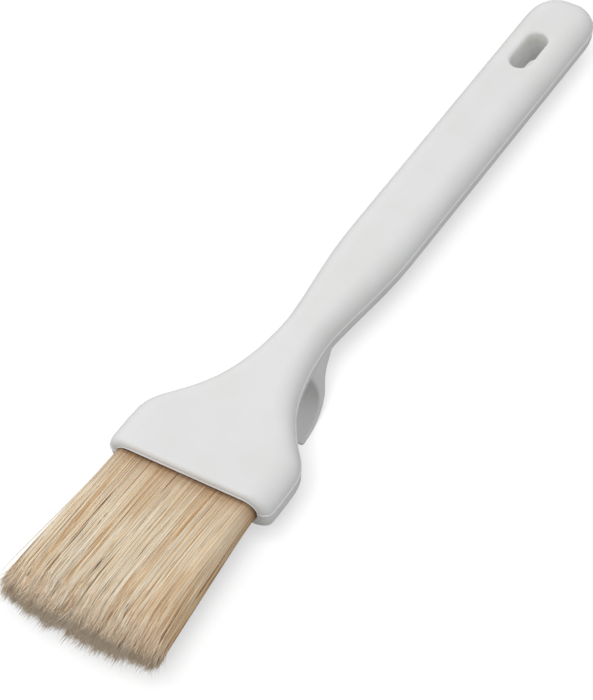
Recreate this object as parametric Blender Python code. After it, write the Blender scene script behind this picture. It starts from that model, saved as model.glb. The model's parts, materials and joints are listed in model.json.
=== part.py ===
# Flat pastry brush: a one-piece moulded plastic handle with a wide socketed
# head, a rest hook under the neck and a hanging slot, holding a flat pack of
# natural bristle that is set in resin.
#
# Frame: metres, +Z up.  The long axis is Y (+Y towards the hanging slot), the
# parting plane of the moulding is level, and the origin is the centre of the
# bottom of the bounding box.  The functions below work in brush coordinates:
# y = 0 at the mouth of the head and z = 0 on the parting plane.  The locks of
# bristle alone are built about the bending line instead.
#
# "Half" is a half width in X; "rise" and "drop" are heights above and below
# the parting plane.

import math

import bmesh
import bpy
from mathutils import Vector

for item in list(bpy.data.objects):
    bpy.data.objects.remove(item, do_unlink=True)

MM = 0.001

# ---------------------------------------------------------------- dimensions
HANDLE_LENGTH = 210.0 * MM      # mouth of the head to the rounded end
BRISTLE_LENGTH = 57.0 * MM      # longest bristle, from the mouth
HOOK_DEPTH = 25.19 * MM         # parting plane to the lowest point of the hook
HINGE_OUT = 4.2 * MM            # bending line of the bristles, from the mouth
GAP = 0.32 * MM                 # clearance between separate pieces

MOUTH_Y = -(HANDLE_LENGTH - BRISTLE_LENGTH) / 2.0
DATUM = Vector((0.0, MOUTH_Y, HOOK_DEPTH))      # origin of brush coordinates
HINGE = DATUM + Vector((0.0, -HINGE_OUT, 0.0))  # origin of the locks

SHARP_ANGLE = math.radians(35.0)    # edges that turn further are shaded sharp


# ------------------------------------------------------------- curve helpers
def spline(stations, at):
    """Monotone cubic through (position, value) stations."""
    places = [station[0] for station in stations]
    values = [station[1] for station in stations]
    if at <= places[0]:
        return values[0]
    if at >= places[-1]:
        return values[-1]
    slopes = [(values[i + 1] - values[i]) / (places[i + 1] - places[i])
              for i in range(len(places) - 1)]
    tangents = [slopes[0]]
    for before, after in zip(slopes, slopes[1:]):
        product = before * after
        tangents.append(0.0 if product <= 0.0 else 2.0 * product / (before + after))
    tangents.append(0.0)
    i = max(j for j in range(len(slopes)) if places[j] <= at)
    span = places[i + 1] - places[i]
    t = (at - places[i]) / span
    return ((2 * t ** 3 - 3 * t ** 2 + 1) * values[i]
            + (t ** 3 - 2 * t ** 2 + t) * span * tangents[i]
            + (-2 * t ** 3 + 3 * t ** 2) * values[i + 1]
            + (t ** 3 - t ** 2) * span * tangents[i + 1])


def smooth(start, end, at):
    """Ease from 0 at start to 1 at end."""
    t = min(1.0, max(0.0, (at - start) / (end - start)))
    return t * t * (3.0 - 2.0 * t)


def signed_power(value, power):
    """Power of the size of a value, keeping its sign; squares off an ellipse."""
    return math.copysign(abs(value) ** power, value)


# ------------------------------------------------------------- piece helpers
def skin(rings, start_pole=None, end_pole=None):
    """Closed bmesh through equal rings; each end is fanned to its pole, or flat."""
    bm = bmesh.new()
    rows = [[bm.verts.new(point) for point in ring] for ring in rings]
    count = len(rows[0])
    for row, following in zip(rows, rows[1:]):
        for i in range(count):
            j = (i + 1) % count
            bm.faces.new((row[i], row[j], following[j], following[i]))
    # The start faces the other way from the end, so its row is reversed.
    for row, pole in ((rows[0][::-1], start_pole), (rows[-1], end_pole)):
        if pole is None:
            bm.faces.new(row)
            continue
        centre = bm.verts.new(pole)
        for i in range(count):
            bm.faces.new((centre, row[i], row[(i + 1) % count]))
    bmesh.ops.recalc_face_normals(bm, faces=bm.faces[:])
    return bm


def material(name, colour, roughness, sheen=0.0):
    mat = bpy.data.materials.new(name)
    mat.use_nodes = True
    shader = mat.node_tree.nodes["Principled BSDF"]
    shader.inputs["Base Color"].default_value = (*colour, 1.0)
    shader.inputs["Roughness"].default_value = roughness
    shader.inputs["Sheen Weight"].default_value = sheen
    mat.diffuse_color = (*colour, 1.0)
    return mat


def add_piece(name, bm, mat=None, location=DATUM):
    """Scene object from a bmesh, shaded smooth between its sharp edges."""
    mesh = bpy.data.meshes.new(name)
    bm.to_mesh(mesh)
    bm.free()
    piece = bpy.data.objects.new(name, mesh)
    piece.location = location
    bpy.context.scene.collection.objects.link(piece)
    if mat is not None:
        mesh.materials.append(mat)
    mesh.shade_smooth()
    mesh.set_sharp_from_angle(angle=SHARP_ANGLE)
    return piece


def apply_form(piece, name, bm, operation):
    """Join or cut a piece with a hidden helper form, by a boolean modifier."""
    form = add_piece(name, bm)
    form.hide_render = True
    form.display_type = 'WIRE'
    mod = piece.modifiers.new(operation.lower() + "_" + name, 'BOOLEAN')
    mod.operation = operation
    mod.solver = 'EXACT'
    mod.object = form


# ---------------------------------------------------------------- the handle
HEAD_HALF = 26.75 * MM
NECK_HALF = 7.27 * MM           # at the narrowest
GRIP_HALF = 10.55 * MM
TOP_RISE = 5.6 * MM
HEAD_DROP = 7.4 * MM
NECK_DROP = 5.8 * MM
GRIP_DROP = 6.0 * MM
HEAD_TO_NECK = (15.0 * MM, 44.0 * MM)   # where the underside changes level
NECK_TO_GRIP = (74.0 * MM, 86.0 * MM)

EDGE_ZONE = 7.5 * MM            # greatest width of the rounded edge in plan
EDGE_SHARE = 0.8                # and its share of a narrow half width
TOP_BULGE = 2.05                # superellipse powers of the section; 2 is round
SOLE_BULGE = 2.9

CAP_LENGTH = 13.0 * MM          # length of the rounded end
CAP_START = HANDLE_LENGTH - CAP_LENGTH
MOUTH_PLAN_RADIUS = 2.6 * MM    # front corners of the head, in plan
MOUTH_EDGE_RADIUS = 1.4 * MM    # front edge of the head, top, in side view
MOUTH_SOLE_RADIUS = 3.0 * MM    # the same at the underside

SOCKET_HALF = 23.0 * MM
SOCKET_RISE = 3.3 * MM          # half height of the opening
SOCKET_DEPTH = 21.0 * MM
SOCKET_FLARE = 0.15 * MM        # widening of the socket's rim
SOCKET_FLARE_DEPTH = 0.3 * MM

QUARTER_POINTS = 10             # steps round a quarter of a section
FLAT_STEPS = 3                  # of those, steps along the flat

# Outline in plan, in mm: distance from the mouth, half width.
WIDTH_STATIONS = [
    (0.0, 26.70), (8.0, HEAD_HALF / MM), (14.0, 26.50), (17.2, 25.75),
    (20.0, 24.10), (25.0, 19.75), (30.0, 15.85), (36.0, 12.40), (43.0, 9.85),
    (51.0, 8.12), (61.0, NECK_HALF / MM), (68.0, 7.78), (78.0, 8.95),
    (88.0, 10.03), (94.0, 10.42), (100.0, GRIP_HALF / MM)]

# Distances from the mouth of the sections that are skinned.
SECTION_PLACES = (
    [0.0, 0.12 * MM, 0.45 * MM, 0.9 * MM, MOUTH_EDGE_RADIUS,
     2.1 * MM, MOUTH_SOLE_RADIUS, 8.0 * MM, 12.5 * MM]
    + [(15.0 + 2.6 * k) * MM for k in range(5)]
    + [(29.0 + 4.0 * k) * MM for k in range(8)]
    + [(62.0 + 6.0 * k) * MM for k in range(7)]
    + [122.0 * MM, 146.0 * MM, 170.0 * MM]
    + [CAP_START + CAP_LENGTH * share
       for share in (0.0, 0.25, 0.45, 0.62, 0.76, 0.87, 0.94, 0.985)])


def corner(y, radius):
    """How far a quarter-round of this radius has still to rise at y."""
    if y >= radius:
        return 0.0
    return radius - math.sqrt(radius ** 2 - (radius - y) ** 2)


def cap_taper(y):
    """Scale of the section: 1 up to the rounded end, then falling to 0."""
    share = max(0.0, (y - CAP_START) / CAP_LENGTH)
    return (1.0 - share ** 2.7) ** (1.0 / 2.3)


def half_width(y):
    width = spline(WIDTH_STATIONS, y / MM) * MM
    return (width - corner(y, MOUTH_PLAN_RADIUS)) * cap_taper(y)


def top_rise(y):
    return (TOP_RISE - corner(y, MOUTH_EDGE_RADIUS)) * cap_taper(y)


def sole_drop(y):
    drop = (HEAD_DROP - corner(y, MOUTH_SOLE_RADIUS)
            + (NECK_DROP - HEAD_DROP) * smooth(*HEAD_TO_NECK, y)
            + (GRIP_DROP - NECK_DROP) * smooth(*NECK_TO_GRIP, y))
    return drop * cap_taper(y)


def edge_zone(half):
    """Width of the rounded edge: a soft minimum of its two limits."""
    return ((EDGE_SHARE * half) ** -3 + EDGE_ZONE ** -3) ** (-1.0 / 3.0)


def quarter(half, zone, height, bulge):
    """Quarter section from the parting plane (half, 0) to the middle (0, height)."""
    flat = half - zone
    curve_steps = QUARTER_POINTS - FLAT_STEPS
    points = []
    for k in range(curve_steps + 1):
        angle = 0.5 * math.pi * k / curve_steps
        points.append((flat + zone * max(0.0, math.cos(angle)) ** (2.0 / bulge),
                       height * math.sin(angle) ** (2.0 / bulge)))
    for k in range(1, FLAT_STEPS + 1):
        points.append((flat * (1.0 - k / FLAT_STEPS), height))
    return points


def section_ring(y, upper, lower):
    """Closed section at y from its two quarters, starting on the parting plane."""
    points = list(upper)
    points += [(-x, z) for x, z in reversed(upper[:-1])]
    points += [(-x, -z) for x, z in lower[1:]]
    points += [(x, -z) for x, z in reversed(lower[1:-1])]
    return [Vector((x, y, z)) for x, z in points]


def handle_ring(y):
    half = half_width(y)
    zone = edge_zone(half)
    return section_ring(y, quarter(half, zone, top_rise(y), TOP_BULGE),
                        quarter(half, zone, sole_drop(y), SOLE_BULGE))


def socket_ring(y, grow=0.0):
    height = SOCKET_RISE + grow
    part = quarter(SOCKET_HALF + grow, height, height, 2.0)
    return section_ring(y, part, part)


def handle_mesh():
    """One skin: from the socket's floor out to the mouth, then over the outside."""
    rings = [socket_ring(SOCKET_DEPTH), socket_ring(SOCKET_FLARE_DEPTH),
             socket_ring(0.0, SOCKET_FLARE)]
    rings += [handle_ring(y) for y in SECTION_PLACES]
    return skin(rings, Vector((0.0, SOCKET_DEPTH, 0.0)),
                Vector((0.0, HANDLE_LENGTH, 0.0)))


# ---------------------------------------------------------- the hanging slot
SLOT_CENTRE = 183.3 * MM        # from the mouth
SLOT_LENGTH = 15.6 * MM
SLOT_WIDTH = 6.9 * MM
SLOT_LIP = 0.9 * MM             # rounding of the slot's rims
SLOT_OVERCUT = 0.6 * MM         # reach of the cutter beyond each face
SLOT_POINTS = 20


def slot_outline(z, grow):
    """Obround of the hanging slot, grown all round."""
    radius = SLOT_WIDTH / 2.0 + grow
    straight = (SLOT_LENGTH - SLOT_WIDTH) / 2.0
    points = []
    for k in range(SLOT_POINTS):
        angle = 2.0 * math.pi * (k + 0.5) / SLOT_POINTS
        shift = math.copysign(straight, math.sin(angle))
        points.append(Vector((radius * math.cos(angle),
                              SLOT_CENTRE + shift + radius * math.sin(angle),
                              z)))
    return points


def slot_levels(face):
    """Outer to inner (height, growth) of the cutter at a face of the handle."""
    levels = [(face + SLOT_OVERCUT, SLOT_LIP)]
    for degrees in (0.0, 30.0, 60.0, 90.0):
        angle = math.radians(degrees)
        levels.append((face - SLOT_LIP * (1.0 - math.cos(angle)),
                       SLOT_LIP * (1.0 - math.sin(angle))))
    return levels


def slot_cutter_mesh():
    """Straight through the handle, flared by the rounding of both rims."""
    levels = [(-height, grow) for height, grow in slot_levels(GRIP_DROP)]
    levels += reversed(slot_levels(TOP_RISE))
    return skin([slot_outline(z, grow) for z, grow in levels])


# ------------------------------------------------------------------ the hook
HOOK_HALF = 7.3 * MM
HOOK_RINGS = 17
HOOK_POINTS = 20

# From inside the neck to the tip: share of the way, centre line y and z and
# half thickness in mm, lean of the section towards the bristles in degrees.
HOOK_STATIONS = [
    (0.00, 56.60, -3.000, 6.40, 0.0),
    (0.10, 55.40, -5.600, 5.00, 6.0),
    (0.22, 54.90, -8.200, 3.40, 8.0),
    (0.36, 54.75, -11.200, 2.40, 8.5),
    (0.50, 54.65, -14.800, 1.75, 15.0),
    (0.64, 53.35, -18.600, 1.25, 34.0),
    (0.76, 49.90, -22.200, 0.95, 55.0),
    (0.88, 46.20, -23.950, 0.75, 74.0),
    (1.00, 42.70, -24.643, 0.55, 84.0)]

# Rounding of the tip: distance past the last ring, scales of width, thickness.
HOOK_TIP = [(0.35 * MM, 0.96, 0.84), (0.55 * MM, 0.89, 0.50)]


def hook_ring(share, beyond=0.0, width_scale=1.0, thickness_scale=1.0):
    y, z, thickness, lean = (
        spline([(station[0], station[column]) for station in HOOK_STATIONS], share)
        for column in (1, 2, 3, 4))
    lean = math.radians(lean)
    along = Vector((0.0, -math.sin(lean), -math.cos(lean)))
    across = Vector((0.0, -along.z, along.y))
    centre = Vector((0.0, y * MM, z * MM)) + along * beyond
    points = []
    for i in range(HOOK_POINTS):
        angle = 2.0 * math.pi * i / HOOK_POINTS
        x = HOOK_HALF * width_scale * signed_power(math.cos(angle), 0.28)
        # Both faces are flat across, so the hook rests without rocking.
        flat = max(-1.0, min(1.0, signed_power(math.sin(angle), 0.50) / 0.96))
        points.append(centre + Vector((x, 0.0, 0.0))
                      + across * (thickness * MM * thickness_scale * flat))
    return points


def hook_mesh():
    rings = [hook_ring(k / (HOOK_RINGS - 1.0)) for k in range(HOOK_RINGS)]
    rings += [hook_ring(1.0, *step) for step in HOOK_TIP]
    return skin(rings)


# ------------------------------------------------------------ the set bristles
ROOT_HALF = 22.6 * MM           # bristle pack at the mouth
ROOT_RISE = 3.0 * MM
ROOT_END = 16.8 * MM            # butt ends, from the mouth
ROOT_EASE = 0.3 * MM            # rounding of the roots at the mouth
BUTT_HALF = ROOT_HALF - 1.2 * MM    # bristle pack inside the resin
BUTT_RISE = ROOT_RISE - 0.9 * MM
SPLIT = 0.55 * MM               # half of the space between the two banks
BANK_ARC_POINTS = 6

SET_START = 7.0 * MM            # resin, from the mouth
SET_END = 20.0 * MM
SET_BEVEL = 0.6 * MM            # bevel at the back of the resin
SET_BEVEL_LENGTH = 0.8 * MM

SPACER_HALF = ROOT_HALF - 2.0 * MM
SPACER_RISE = SPLIT - 0.2 * MM
SPACER_START = 1.5 * MM
SPACER_BEVEL_END = 1.9 * MM


def bar_outline(half, rise, radius, y, steps=4):
    """Flat bar section with its outer corners rounded, as a closed ring."""
    radius = min(radius, rise)
    points = []
    for side_x, side_z, first in ((1, 1, 0), (-1, 1, 90), (-1, -1, 180), (1, -1, 270)):
        for k in range(steps + 1):
            angle = math.radians(first + 90.0 * k / steps)
            points.append(Vector((
                side_x * (half - radius) + radius * math.cos(angle), y,
                side_z * (rise - radius) + radius * math.sin(angle))))
    return points


def bank_section(upper, half, rise, y):
    """Round-sided section of one bank, cut flat along the split."""
    side = 1.0 if upper else -1.0
    first = math.asin(SPLIT / rise)
    last = BANK_ARC_POINTS - 1
    angles = [first + (0.5 * math.pi - first) * k / last
              for k in range(BANK_ARC_POINTS)]
    points = []
    for lead, arc in ((1.0, angles), (-1.0, reversed(angles))):
        for angle in arc:
            points.append(Vector((lead * (half - rise + rise * math.cos(angle)), y,
                                  side * rise * math.sin(angle))))
    return points


def bank_mesh(upper):
    """Roots of one bank: full at the mouth, stepped down inside the resin."""
    step = SET_START - GAP
    return skin([
        bank_section(upper, ROOT_HALF - ROOT_EASE, ROOT_RISE - ROOT_EASE, -0.15 * MM),
        bank_section(upper, ROOT_HALF, ROOT_RISE, 0.5 * MM),
        bank_section(upper, ROOT_HALF, ROOT_RISE, step),
        bank_section(upper, BUTT_HALF, BUTT_RISE, step + 0.05 * MM),
        bank_section(upper, BUTT_HALF, BUTT_RISE, ROOT_END)])


def resin_mesh():
    """Cup of resin round the butt ends of both banks."""
    def outer(y, shrink=0.0):
        return bar_outline(SOCKET_HALF - GAP - shrink, SOCKET_RISE - GAP - shrink,
                           SOCKET_RISE, y)

    def pocket(y):
        return bar_outline(BUTT_HALF + GAP, BUTT_RISE + GAP, BUTT_RISE + GAP, y)

    return skin([pocket(ROOT_END + GAP), pocket(SET_START), outer(SET_START),
                 outer(SET_END - SET_BEVEL_LENGTH), outer(SET_END, SET_BEVEL)])


def spacer_mesh():
    """Flat strip between the two banks, bevelled at the mouth end."""
    return skin([
        bar_outline(SPACER_HALF - 0.2 * MM, SPACER_RISE - 0.1 * MM, 0.2 * MM,
                    SPACER_START, steps=2),
        bar_outline(SPACER_HALF, SPACER_RISE, 0.3 * MM, SPACER_BEVEL_END, steps=2),
        bar_outline(SPACER_HALF, SPACER_RISE, 0.3 * MM, ROOT_END, steps=2)])


# ------------------------------------------------------------ the free bristles
FREE_HALF = 25.3 * MM           # bristle pack at the tips
FREE_RISE = 6.6 * MM
FREE_LEAN = 1.3 * MM            # sideways set of the tips, towards +X
LOCKS_ACROSS = 8
LOCK_POINTS = 12
LOCK_SHARES = (0.0, 0.28, 0.55, 0.80, 0.93, 1.0)    # sections along a lock
LOCK_FIRST = 0.4 * MM           # least distance of a section from the hinge
LOCK_ROOT_RADIUS = ROOT_RISE + 0.25 * MM    # rounding about the bending line
TRIM_RANGE = 1.3 * MM           # unevenness of the cut line
UPPER_TRIM = 0.9 * MM           # the upper bank is cut shorter by this
TIP_ZONE = 9.0 * MM             # length over which a lock narrows to its tip
LONGEST_LOWER = 2               # column of the untrimmed lower lock


def lock_length(column, upper):
    """Hinge to tip: the cut line is slightly uneven across the brush."""
    wave = math.sin(2.1 * column + (0.7 if upper else 2.6))
    trim = TRIM_RANGE * (0.5 - 0.5 * wave)
    if upper:
        trim += UPPER_TRIM
    elif column == LONGEST_LOWER:
        trim = 0.0
    return BRISTLE_LENGTH - HINGE_OUT - trim


def lock_section(column, upper, distance, length):
    """One lock's (x, z) outline at a distance from the bending line."""
    share = distance / (BRISTLE_LENGTH - HINGE_OUT)
    spread = ROOT_HALF + (FREE_HALF - ROOT_HALF) * share ** 1.1
    pitch = 2.0 * spread / LOCKS_ACROSS
    middle = FREE_LEAN * share ** 1.5 - spread + pitch * (column + 0.5)

    # The pack thins towards its two sides, more so at the tips.
    offside = abs(column + 0.5 - LOCKS_ACROSS / 2.0) / (LOCKS_ACROSS / 2.0)
    tall = ROOT_RISE + (FREE_RISE - ROOT_RISE) * share ** 0.85
    tall *= 1.0 - 0.30 * offside ** 3 * share

    narrowing = smooth(length - TIP_ZONE, length, distance)
    half = 0.5 * (pitch - GAP) * (1.0 - 0.16 * narrowing)
    low = 0.5 * GAP
    high = tall * (1.0 - 0.14 * narrowing)
    centre = 0.5 * (low + high)
    reach = 0.5 * (high - low)
    points = []
    for i in range(LOCK_POINTS):
        angle = 2.0 * math.pi * (i + 0.5) / LOCK_POINTS
        x = middle + half * signed_power(math.cos(angle), 0.36)
        z = centre + reach * signed_power(math.sin(angle), 0.40)
        points.append((x, z if upper else -z))
    return points


def lock_mesh(column, upper):
    """Loft from a root rounded about the bending line to a blunt cut tip."""
    length = lock_length(column, upper)
    rings = [[Vector((x, math.sqrt(LOCK_ROOT_RADIUS ** 2 - z * z), z))
              for x, z in lock_section(column, upper, 0.0, length)]]
    for share in LOCK_SHARES:
        distance = max(LOCK_FIRST, share * length)
        rings.append([Vector((x, -distance, z)) for x, z
                      in lock_section(column, upper, distance, length)])
    return skin(rings)


def lock_material(name, column, upper):
    """Bristle colour, varied a little from lock to lock."""
    shade = 1.0 + 0.05 * math.sin(1.9 * column + (0.0 if upper else 1.3))
    colour = (0.66 * shade, 0.50 * shade, 0.31 * shade)
    return material(name, colour, roughness=0.55, sheen=0.2)


# ----------------------------------------------------------------- assembly
BANKS = (("upper", True), ("lower", False))

handle = add_piece("handle_moulding", handle_mesh(),
                   material("handle_plastic", (0.86, 0.86, 0.85), roughness=0.34))
apply_form(handle, "hook_form", hook_mesh(), 'UNION')
apply_form(handle, "slot_cutter", slot_cutter_mesh(), 'DIFFERENCE')

add_piece("resin_set", resin_mesh(),
          material("epoxy_resin", (0.42, 0.30, 0.14), roughness=0.30))
add_piece("spacer_strip", spacer_mesh(),
          material("spacer_board", (0.45, 0.34, 0.22), roughness=0.75))
for bank, is_upper in BANKS:
    add_piece("root_bank_" + bank, bank_mesh(is_upper),
              material("root_bristle_" + bank, (0.36, 0.23, 0.10), roughness=0.65))

for bank, is_upper in BANKS:
    for lock in range(LOCKS_ACROSS):
        label = "%s_%d" % (bank, lock + 1)
        add_piece("lock_" + label, lock_mesh(lock, is_upper),
                  lock_material("bristle_" + label, lock, is_upper), HINGE)
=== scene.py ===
# Flat pastry brush: a white plastic handle with a hook under its neck and a
# hanging slot, and a pack of natural bristle in its head.
# The frame is in metres: +Y runs from the bristle towards the hanging slot and
# +Z out of the top face.  "Brush coordinates" are millimetres with y = 0 at the
# mouth of the head and z = 0 on the parting plane; the bristle lies at y < 0.

import json
import math

import bmesh
import bpy
import numpy as np
from mathutils import Matrix, Vector

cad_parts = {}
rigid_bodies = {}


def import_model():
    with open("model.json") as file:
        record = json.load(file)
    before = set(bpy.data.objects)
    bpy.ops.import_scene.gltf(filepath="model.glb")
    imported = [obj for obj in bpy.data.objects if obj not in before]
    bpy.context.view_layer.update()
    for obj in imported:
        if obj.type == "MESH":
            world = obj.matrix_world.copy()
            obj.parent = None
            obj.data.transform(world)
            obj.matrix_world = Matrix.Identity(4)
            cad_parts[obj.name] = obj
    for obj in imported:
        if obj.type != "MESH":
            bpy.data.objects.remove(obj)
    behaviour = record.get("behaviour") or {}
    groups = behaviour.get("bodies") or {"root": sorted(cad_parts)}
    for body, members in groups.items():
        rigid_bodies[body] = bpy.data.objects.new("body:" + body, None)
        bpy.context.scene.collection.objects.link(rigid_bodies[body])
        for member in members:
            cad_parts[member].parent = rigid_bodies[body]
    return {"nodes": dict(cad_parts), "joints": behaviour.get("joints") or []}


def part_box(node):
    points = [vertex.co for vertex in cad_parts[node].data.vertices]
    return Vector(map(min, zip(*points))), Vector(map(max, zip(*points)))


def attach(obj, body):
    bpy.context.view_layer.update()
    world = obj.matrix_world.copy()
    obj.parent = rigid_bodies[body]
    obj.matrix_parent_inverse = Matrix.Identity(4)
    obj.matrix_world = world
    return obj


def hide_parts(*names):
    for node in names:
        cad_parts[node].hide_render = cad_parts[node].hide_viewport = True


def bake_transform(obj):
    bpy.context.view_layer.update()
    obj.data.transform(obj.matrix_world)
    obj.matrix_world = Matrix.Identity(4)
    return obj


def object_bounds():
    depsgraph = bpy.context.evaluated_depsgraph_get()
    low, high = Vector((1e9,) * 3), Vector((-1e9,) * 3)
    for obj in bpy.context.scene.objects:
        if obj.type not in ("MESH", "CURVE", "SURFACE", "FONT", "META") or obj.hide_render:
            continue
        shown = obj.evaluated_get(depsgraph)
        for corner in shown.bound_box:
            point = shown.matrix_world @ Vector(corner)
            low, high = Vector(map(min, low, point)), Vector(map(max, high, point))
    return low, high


for item in list(bpy.data.objects):
    bpy.data.objects.remove(item, do_unlink=True)

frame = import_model()
CAD_BOX = [list(map(float, c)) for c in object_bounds()]
HANDLE_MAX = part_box("handle_moulding")[1]
HINGE = frame["joints"][0]["pos_m"]

# Dimensions in millimetres.
MM = 0.001
HINGE_OUT = 4.2                        # from the hinge to the mouth
MOUTH_Y = HINGE[1] / MM + HINGE_OUT    # in the frame
PARTING_Z = HINGE[2] / MM

HANDLE_LENGTH = HANDLE_MAX[1] / MM - MOUTH_Y
HEAD_HALF = HANDLE_MAX[0] / MM
NECK_HALF = 7.27
GRIP_HALF = 10.55
TOP_RISE = HANDLE_MAX[2] / MM - PARTING_Z
HEAD_DROP = 7.4
NECK_DROP = 5.8
BOTTOM_DROP = 6.0
EDGE_ZONE = 7.5                        # width of the rounded part of a section
UPPER_BULGE, LOWER_BULGE = 2.05, 2.9   # powers of a section's rounding
CAP_LENGTH = 13.0                      # rounded end of the handle
CAP_ALONG, CAP_ACROSS = 2.7, 2.3       # powers of its rounding
MOUTH_PLAN_RADIUS = 2.6
MOUTH_EDGE_RADIUS = 1.4
MOUTH_SOLE_RADIUS = 3.0
BEAD = 0.29                            # height of the parting line's raised bead
BEAD_WIDTH = 0.16
SOCKET_HALF = 23.0
SOCKET_RISE = 3.3
SOCKET_DEPTH = 21.0
SLOT_CENTRE = 183.3
SLOT_LENGTH = 15.6
SLOT_WIDTH = 6.9
SLOT_LIP = 0.9                         # radius of the slot's rims
SLOT_LEDGE = 0.10
HOOK_HALF = 7.3

BRISTLE_LENGTH = 57.0
ROOT_GAP = 0.25                        # between the pack and its socket
ROOT_HALF, ROOT_RISE = SOCKET_HALF - ROOT_GAP, SOCKET_RISE - ROOT_GAP
TIP_HALF, TIP_RISE = 25.9, 6.9
TIP_LEAN = 1.6                         # drift of the tips towards +X

# Outline of the handle: y, half width.
NECK_STATIONS = [
    (0.0, 26.70), (8.0, HEAD_HALF), (14.0, 26.50), (17.2, 25.75),
    (20.0, 24.10), (25.0, 19.75), (30.0, 15.85), (36.0, 12.40), (43.0, 9.85),
    (51.0, 8.12), (61.0, NECK_HALF), (68.0, 7.78), (78.0, 8.95),
    (88.0, 10.03), (94.0, 10.42), (100.0, GRIP_HALF)]
# The hook: share of its length, y, z, half thickness, lean in degrees.
HOOK_STATIONS = [
    (0.0, 56.6, -3.0, 6.4, 0.0), (0.10, 55.4, -5.6, 5.0, 6.0),
    (0.22, 54.9, -8.2, 3.4, 8.0), (0.36, 54.75, -11.2, 2.4, 8.5),
    (0.50, 54.65, -14.8, 1.75, 15.0), (0.64, 53.35, -18.6, 1.25, 34.0),
    (0.76, 49.9, -22.2, 0.95, 55.0), (0.88, 46.2, -23.95, 0.75, 74.0),
    (1.00, 42.7, -24.643, 0.55, 84.0)]
# Rings of the socket, from its floor outwards: y, shrink.
SOCKET_RINGS = [(SOCKET_DEPTH, 0.0), (6.0, 0.0), (1.2, 0.0), (0.45, 0.0),
                (0.18, -0.03), (-0.10, -0.06)]
# Rings of the mouth face: share from opening to outer edge, height out of it.
LIP_RINGS = [(0.05, 0.22), (0.16, 0.30), (0.34, 0.33), (0.50, 0.30), (0.58, 0.22),
             (0.62, -0.10), (0.70, -0.14), (0.78, 0.0), (0.90, 0.0)]
# y of the handle's first rings.
MOUTH_RINGS = [0.0, 0.04, 0.12, 0.25, 0.42, 0.64, 0.90, 1.18, 1.40, 1.75, 2.15,
               2.60, 3.00, 3.8, 5.0, 6.5, 8.0, 9.5, 11.0, 12.3]


# ------------------------------------------------------------------- geometry
def to_world(points):
    """Brush coordinates in millimetres to the frame in metres."""
    return (np.asarray(points, float) + np.array([0.0, MOUTH_Y, PARTING_Z])) * MM


def spline(stations, at):
    """Monotone cubic through (position, value) stations."""
    places, values = zip(*stations)
    if at <= places[0]:
        return values[0]
    if at >= places[-1]:
        return values[-1]
    slopes = [(values[i + 1] - values[i]) / (places[i + 1] - places[i])
              for i in range(len(places) - 1)]
    tangents = [slopes[0]]
    for before, after in zip(slopes, slopes[1:]):
        tangents.append(0.0 if before * after <= 0.0
                        else 2.0 * before * after / (before + after))
    tangents.append(0.0)
    i = max(j for j in range(len(slopes)) if places[j] <= at)
    span = places[i + 1] - places[i]
    t = (at - places[i]) / span
    return ((2 * t ** 3 - 3 * t ** 2 + 1) * values[i]
            + (t ** 3 - 2 * t ** 2 + t) * span * tangents[i]
            + (-2 * t ** 3 + 3 * t ** 2) * values[i + 1]
            + (t ** 3 - t ** 2) * span * tangents[i + 1])


def smooth(low, high, value):
    """Smooth step from 0 at low to 1 at high."""
    share = np.clip((value - low) / (high - low), 0.0, 1.0)
    return share * share * (3.0 - 2.0 * share)


def corner(y, radius):
    """Inset of a rounded corner at y from the mouth."""
    if y >= radius:
        return 0.0
    return radius - math.sqrt(max(0.0, radius ** 2 - (radius - y) ** 2))


def cap_share(y):
    """Share of the full section left by the handle's rounded end."""
    start = HANDLE_LENGTH - CAP_LENGTH
    if y <= start:
        return 1.0
    share = min(1.0, (y - start) / CAP_LENGTH)
    return (1.0 - share ** CAP_ALONG) ** (1.0 / CAP_ACROSS)


def half_width(y):
    return (spline(NECK_STATIONS, y) - corner(y, MOUTH_PLAN_RADIUS)) * cap_share(y)


def top_height(y):
    return (TOP_RISE - corner(y, MOUTH_EDGE_RADIUS)) * cap_share(y)


def sole_depth(y):
    depth = (HEAD_DROP - corner(y, MOUTH_SOLE_RADIUS)
             + (NECK_DROP - HEAD_DROP) * smooth(15.0, 44.0, y)
             + (BOTTOM_DROP - NECK_DROP) * smooth(74.0, 86.0, y))
    return depth * cap_share(y)


def edge_zone(width):
    """EDGE_ZONE, eased down where the handle is narrow."""
    return ((0.8 * width) ** -3 + EDGE_ZONE ** -3) ** (-1.0 / 3.0)


def levels(bulge):
    """Heights of a section's points, close together at the parting line."""
    upper = np.sin(np.radians(np.linspace(25.0, 90.0, 18))) ** (2.0 / bulge)
    lower = np.concatenate([[0, .010, .020, .031, .046, .075, .115],
                            np.linspace(.17, upper[0] * 0.90, 5)])
    return np.concatenate([lower, upper])


def quarter(width, zone, height, bulge):
    """x and z of a quarter section: the rounded zone, then the flat."""
    level = levels(bulge)
    flat_steps = 7
    x = width - zone + zone * np.maximum(0.0, 1.0 - level ** bulge) ** (1.0 / bulge)
    flat = (width - zone) * (1.0 - np.arange(1, flat_steps + 1) / flat_steps)
    return (np.concatenate([x, flat]),
            np.concatenate([height * level, np.full(flat_steps, height)]))


def ring(y, width, zone, up, down, bulge_up, bulge_down):
    """A whole section at y, from four quarters."""
    top_x, top_z = quarter(width, zone, up, bulge_up)
    low_x, low_z = quarter(width, zone, down, bulge_down)
    x = np.concatenate([top_x, -top_x[-2::-1], -low_x[1:], low_x[-2:0:-1]])
    z = np.concatenate([top_z, top_z[-2::-1], -low_z[1:], -low_z[-2:0:-1]])
    return np.stack([x, np.full(len(x), y), z], axis=1)


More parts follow.
